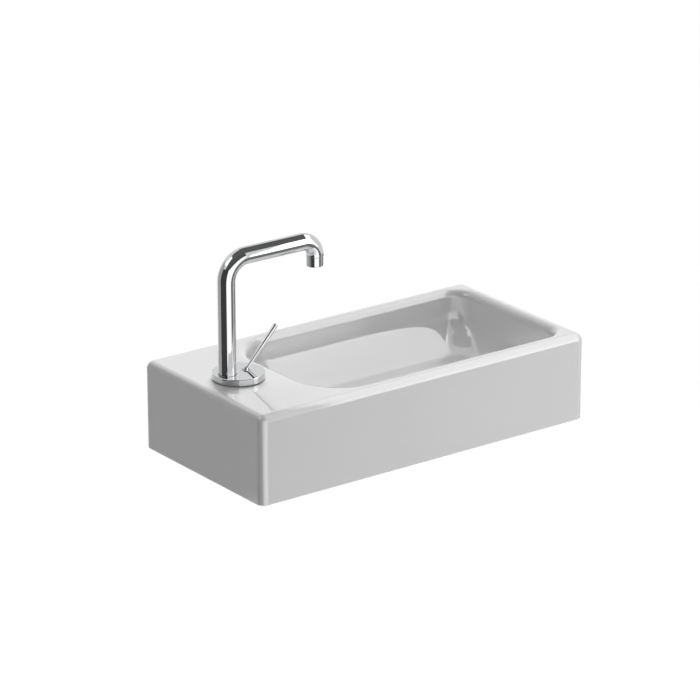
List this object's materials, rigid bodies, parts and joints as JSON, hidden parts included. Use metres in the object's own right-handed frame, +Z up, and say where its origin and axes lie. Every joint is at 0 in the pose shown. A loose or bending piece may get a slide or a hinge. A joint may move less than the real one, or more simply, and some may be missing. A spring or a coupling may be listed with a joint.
{
  "type": "washbasin",
  "caption": "Small rectangular wall-hung ceramic hand basin with a tap deck on the left, a rounded bowl on the right and a chrome pin-lever tap with a swivel spout.",
  "frame": {"origin": "on the back face, midway between the two wall bolt holes", "axes": "+X right along the wall, +Y towards the wall, +Z up"},
  "size_m": [0.5, 0.25, 0.3125],
  "materials": {
    "glaze": "glossy white glaze",
    "chrome": "polished chrome",
    "rubber": "matte black",
    "brass": "machined brass",
    "steel": "brushed stainless steel",
    "plastic": "moulded off-white plastic",
    "grey_plastic": "moulded grey plastic",
    "disc_ceramic": "ground technical ceramic"
  },
  "bodies": {
    "basin": {"basin_body": "glaze", "tap_base": "chrome", "base_seal": "rubber", "valve_body": "brass", "clamp_seal": "rubber", "clamp_washer": "steel", "clamp_nut": "brass", "spout_slide_ring": "plastic", "spout_stop_screw": "steel", "cartridge_body": "plastic", "cartridge_nut": "brass", "fixed_disc": "disc_ceramic", "waste_body": "chrome", "waste_gasket": "rubber", "waste_seal": "rubber", "waste_washer": "steel", "waste_nut": "brass", "plug_cage": "grey_plastic"},
    "spout": {"spout_tube": "chrome", "spout_spigot": "brass", "spout_seal_upper": "rubber", "spout_seal_lower": "rubber", "aerator_housing": "chrome", "aerator_insert": "plastic", "aerator_seal": "rubber"},
    "rotor": {"cartridge_rotor": "plastic", "turning_disc": "disc_ceramic"},
    "lever": {"lever_ball": "chrome", "lever_rod": "chrome"},
    "plug": {"plug_cap": "chrome", "plug_seal": "rubber", "plug_stem": "steel"}
  },
  "joints": [
    {"name": "spout_swing", "type": "hinge", "parent": "basin", "child": "spout", "pos_m": [-0.2095, -0.123, 0.078], "axis": [0, 0, 1], "range_deg": [-50, 50]},
    {"name": "lever_turn", "type": "hinge", "parent": "basin", "child": "rotor", "pos_m": [-0.1825, -0.123, 0.078], "axis": [0, 0, 1], "range_deg": [-45, 45]},
    {"name": "lever_lift", "type": "hinge", "parent": "rotor", "child": "lever", "pos_m": [-0.1825, -0.123, 0.086], "axis": [0, -1, 0], "range_deg": [0, 25]},
    {"name": "plug_lift", "type": "slide", "parent": "basin", "child": "plug", "axis": [0, 0, 1], "range_m": [0, 0.008]}
  ]
}
